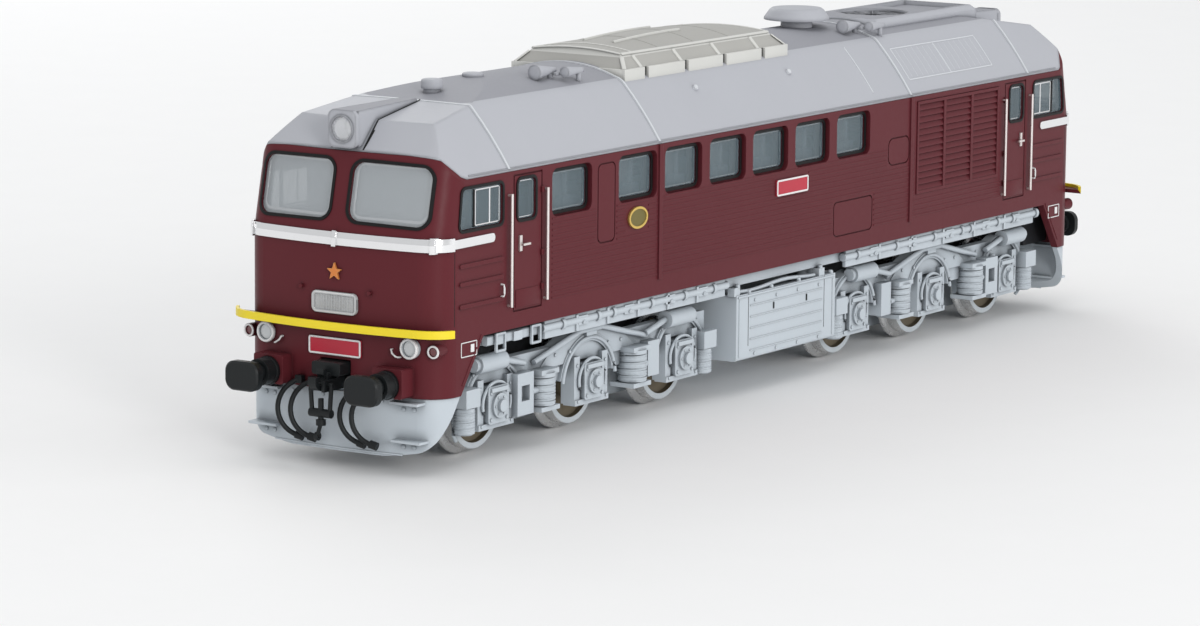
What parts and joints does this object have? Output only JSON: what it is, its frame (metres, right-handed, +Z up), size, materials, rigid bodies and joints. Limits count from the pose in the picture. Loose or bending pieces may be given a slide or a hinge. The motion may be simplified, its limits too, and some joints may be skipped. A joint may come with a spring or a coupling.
{
  "type": "model train",
  "caption": "Six-axle model diesel locomotive with two cabs, swivelling bogies driven by worm gears from a centre motor, sprung buffers and hanging screw couplings.",
  "frame": {"origin": "middle of the locomotive, on the centre line, level with the lowest points of the wheel flanges", "axes": "+X forward along the track, +Y to the left side, +Z up"},
  "size_m": [0.2018, 0.0372, 0.0543],
  "materials": {
    "maroon_body": "satin",
    "roof_grey": "satin",
    "light_grey": "satin",
    "hatch_white": "matte",
    "clear_plastic": "polished",
    "black_rubber": "matte",
    "bright_trim": "polished",
    "handrail_metal": "satin",
    "lamp_lens": "polished",
    "lamp_ring": "satin",
    "yellow_edge": "satin",
    "plate_red": "satin",
    "badge_gold": "satin",
    "star_orange": "satin",
    "black_plastic": "satin",
    "cast_metal": "cast",
    "weight_metal": "cast",
    "brass_parts": "machined",
    "steel_parts": "machined",
    "wheel_metal": "satin",
    "board_green": "satin",
    "dark_interior": "matte",
    "white_gear": "satin"
  },
  "bodies": {
    "root": {"body_shell": "maroon_body", "roof_shell": "roof_grey", "windows": "clear_plastic", "window_seals": "black_rubber", "trim_bands": "bright_trim", "door_handrails": "handrail_metal", "headlight_housings": "roof_grey", "headlight_lenses": "lamp_lens", "signal_lamps": "lamp_ring", "footboards": "yellow_edge", "number_plates": "plate_red", "side_emblems": "badge_gold", "nose_fittings": "star_orange", "snow_ploughs": "light_grey", "brake_hoses": "black_plastic", "buffer_sleeves": "black_plastic", "coupling_hooks": "black_plastic", "roof_hatch": "hatch_white", "exhaust_cap": "roof_grey", "roof_vents": "roof_grey", "horns": "roof_grey", "radiator_housing": "roof_grey", "radiator_fan": "black_plastic", "side_grilles": "maroon_body", "main_frame": "cast_metal", "underframe_equipment": "light_grey", "fuel_tank": "light_grey", "speaker": "black_plastic", "body_screws": "steel_parts", "motor": "steel_parts", "ballast_weights": "weight_metal", "circuit_board": "board_green", "cab_interiors": "dark_interior"},
    "armature": {"motor_shaft": "steel_parts", "flywheels": "brass_parts"},
    "bogie_front": {"gearbox_front": "black_plastic", "keeper_plate_front": "black_plastic", "contact_strips_front": "brass_parts", "bogie_frame_front": "light_grey"},
    "worm_front": {"worm_front": "brass_parts"},
    "transfer_gear_front": {"transfer_gear_front": "white_gear"},
    "outer_wheelset_front": {"outer_wheelset_front": "wheel_metal"},
    "middle_wheelset_front": {"middle_wheelset_front": "wheel_metal"},
    "inner_wheelset_front": {"inner_wheelset_front": "wheel_metal"},
    "screw_link_front": {"screw_link_front": "black_plastic"},
    "buffer_front_left": {"buffer_front_left": "black_plastic"},
    "buffer_front_right": {"buffer_front_right": "black_plastic"},
    "bogie_rear": {"gearbox_rear": "black_plastic", "keeper_plate_rear": "black_plastic", "contact_strips_rear": "brass_parts", "bogie_frame_rear": "light_grey"},
    "worm_rear": {"worm_rear": "brass_parts"},
    "transfer_gear_rear": {"transfer_gear_rear": "white_gear"},
    "outer_wheelset_rear": {"outer_wheelset_rear": "wheel_metal"},
    "middle_wheelset_rear": {"middle_wheelset_rear": "wheel_metal"},
    "inner_wheelset_rear": {"inner_wheelset_rear": "wheel_metal"},
    "screw_link_rear": {"screw_link_rear": "black_plastic"},
    "buffer_rear_left": {"buffer_rear_left": "black_plastic"},
    "buffer_rear_right": {"buffer_rear_right": "black_plastic"}
  },
  "joints": [
    {"name": "motor_spin", "type": "hinge", "parent": "root", "child": "armature", "pos_m": [0, 0, 0.02251], "axis": [1, 0, 0], "continuous": true},
    {"name": "bogie_swivel_front", "type": "hinge", "parent": "root", "child": "bogie_front", "pos_m": [0.0494, 0, 0.0165], "axis": [0, 0, 1], "range_deg": [-8, 8]},
    {"name": "worm_spin_front", "type": "hinge", "parent": "bogie_front", "child": "worm_front", "pos_m": [0.0494, 0, 0.02251], "axis": [1, 0, 0], "continuous": true},
    {"name": "transfer_spin_front", "type": "hinge", "parent": "bogie_front", "child": "transfer_gear_front", "pos_m": [0.06147, 0, 0.01176], "axis": [0, 1, 0], "continuous": true},
    {"name": "outer_axle_front", "type": "hinge", "parent": "bogie_front", "child": "outer_wheelset_front", "pos_m": [0.07354, 0, 0.00693], "axis": [0, 1, 0], "continuous": true},
    {"name": "middle_axle_front", "type": "hinge", "parent": "bogie_front", "child": "middle_wheelset_front", "pos_m": [0.0494, 0, 0.00693], "axis": [0, 1, 0], "continuous": true},
    {"name": "inner_axle_front", "type": "hinge", "parent": "bogie_front", "child": "inner_wheelset_front", "pos_m": [0.02526, 0, 0.00693], "axis": [0, 1, 0], "continuous": true},
    {"name": "link_swing_front", "type": "hinge", "parent": "root", "child": "screw_link_front", "pos_m": [0.096, 0, 0.0122], "axis": [0, -1, 0], "range_deg": [-6, 60]},
    {"name": "buffer_front_left_press", "type": "slide", "parent": "root", "child": "buffer_front_left", "axis": [-1, 0, 0], "range_m": [0, 0.0012], "stiffness_N_per_m": 150, "springref_m": -0.0008},
    {"name": "buffer_front_right_press", "type": "slide", "parent": "root", "child": "buffer_front_right", "axis": [-1, 0, 0], "range_m": [0, 0.0012], "stiffness_N_per_m": 150, "springref_m": -0.0008},
    {"name": "bogie_swivel_rear", "type": "hinge", "parent": "root", "child": "bogie_rear", "pos_m": [-0.0494, 0, 0.0165], "axis": [0, 0, 1], "range_deg": [-8, 8]},
    {"name": "worm_spin_rear", "type": "hinge", "parent": "bogie_rear", "child": "worm_rear", "pos_m": [-0.0494, 0, 0.02251], "axis": [1, 0, 0], "continuous": true},
    {"name": "transfer_spin_rear", "type": "hinge", "parent": "bogie_rear", "child": "transfer_gear_rear", "pos_m": [-0.06147, 0, 0.01176], "axis": [0, 1, 0], "continuous": true},
    {"name": "outer_axle_rear", "type": "hinge", "parent": "bogie_rear", "child": "outer_wheelset_rear", "pos_m": [-0.07354, 0, 0.00693], "axis": [0, 1, 0], "continuous": true},
    {"name": "middle_axle_rear", "type": "hinge", "parent": "bogie_rear", "child": "middle_wheelset_rear", "pos_m": [-0.0494, 0, 0.00693], "axis": [0, 1, 0], "continuous": true},
    {"name": "inner_axle_rear", "type": "hinge", "parent": "bogie_rear", "child": "inner_wheelset_rear", "pos_m": [-0.02526, 0, 0.00693], "axis": [0, 1, 0], "continuous": true},
    {"name": "link_swing_rear", "type": "hinge", "parent": "root", "child": "screw_link_rear", "pos_m": [-0.096, 0, 0.0122], "axis": [0, 1, 0], "range_deg": [-6, 60]},
    {"name": "buffer_rear_left_press", "type": "slide", "parent": "root", "child": "buffer_rear_left", "axis": [1, 0, 0], "range_m": [0, 0.0012], "stiffness_N_per_m": 150, "springref_m": -0.0008},
    {"name": "buffer_rear_right_press", "type": "slide", "parent": "root", "child": "buffer_rear_right", "axis": [1, 0, 0], "range_m": [0, 0.0012], "stiffness_N_per_m": 150, "springref_m": -0.0008}
  ],
  "couplings": [
    {"joint": "worm_spin_front", "follows": "motor_spin", "ratio": 1},
    {"joint": "transfer_spin_front", "follows": "motor_spin", "ratio": -0.027778},
    {"joint": "outer_axle_front", "follows": "motor_spin", "ratio": 0.0625},
    {"joint": "middle_axle_front", "follows": "motor_spin", "ratio": 0.0625},
    {"joint": "worm_spin_rear", "follows": "motor_spin", "ratio": 1},
    {"joint": "transfer_spin_rear", "follows": "motor_spin", "ratio": -0.027778},
    {"joint": "outer_axle_rear", "follows": "motor_spin", "ratio": 0.0625},
    {"joint": "middle_axle_rear", "follows": "motor_spin", "ratio": 0.0625}
  ]
}
